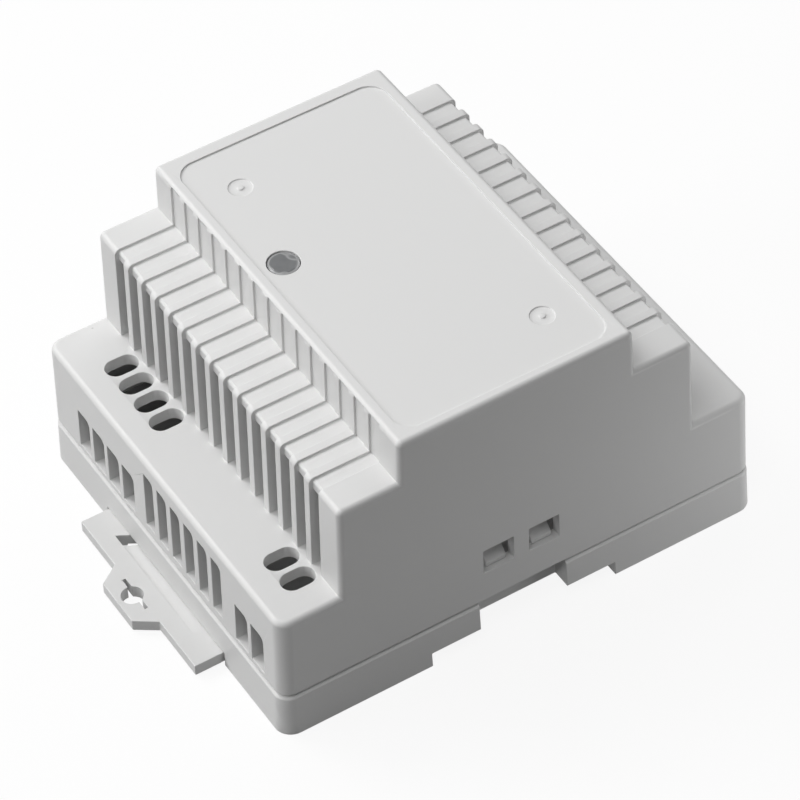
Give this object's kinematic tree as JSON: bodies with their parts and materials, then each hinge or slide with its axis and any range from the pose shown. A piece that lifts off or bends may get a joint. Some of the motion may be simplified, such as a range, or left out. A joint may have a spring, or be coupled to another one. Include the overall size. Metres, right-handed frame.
{
  "type": "din rail enclosure",
  "caption": "Stepped two-part plastic housing that clips onto a 35 mm DIN rail, with slotted walls, wire entries, a clipped cover and a sliding rail latch.",
  "frame": {"origin": "middle of the seat face in the base's rail recess, on the centre line of the rail", "axes": "+X along the rail, +Y across the rail away from the latch, +Z away from the rail through the lid"},
  "size_m": [0.078, 0.102, 0.0547],
  "materials": {
    "housing_plastic": "fine satin moulded",
    "latch_plastic": "satin moulded",
    "lens_plastic": "clear smoke, polished"
  },
  "bodies": {
    "housing": {"base": "housing_plastic", "cover": "housing_plastic", "indicator_lens": "lens_plastic"},
    "latch": {"rail_latch": "latch_plastic"}
  },
  "joints": [
    {"name": "latch_slide", "type": "slide", "parent": "housing", "child": "latch", "axis": [0, -1, 0], "range_m": [0, 0.004], "stiffness_N_per_m": 600}
  ]
}
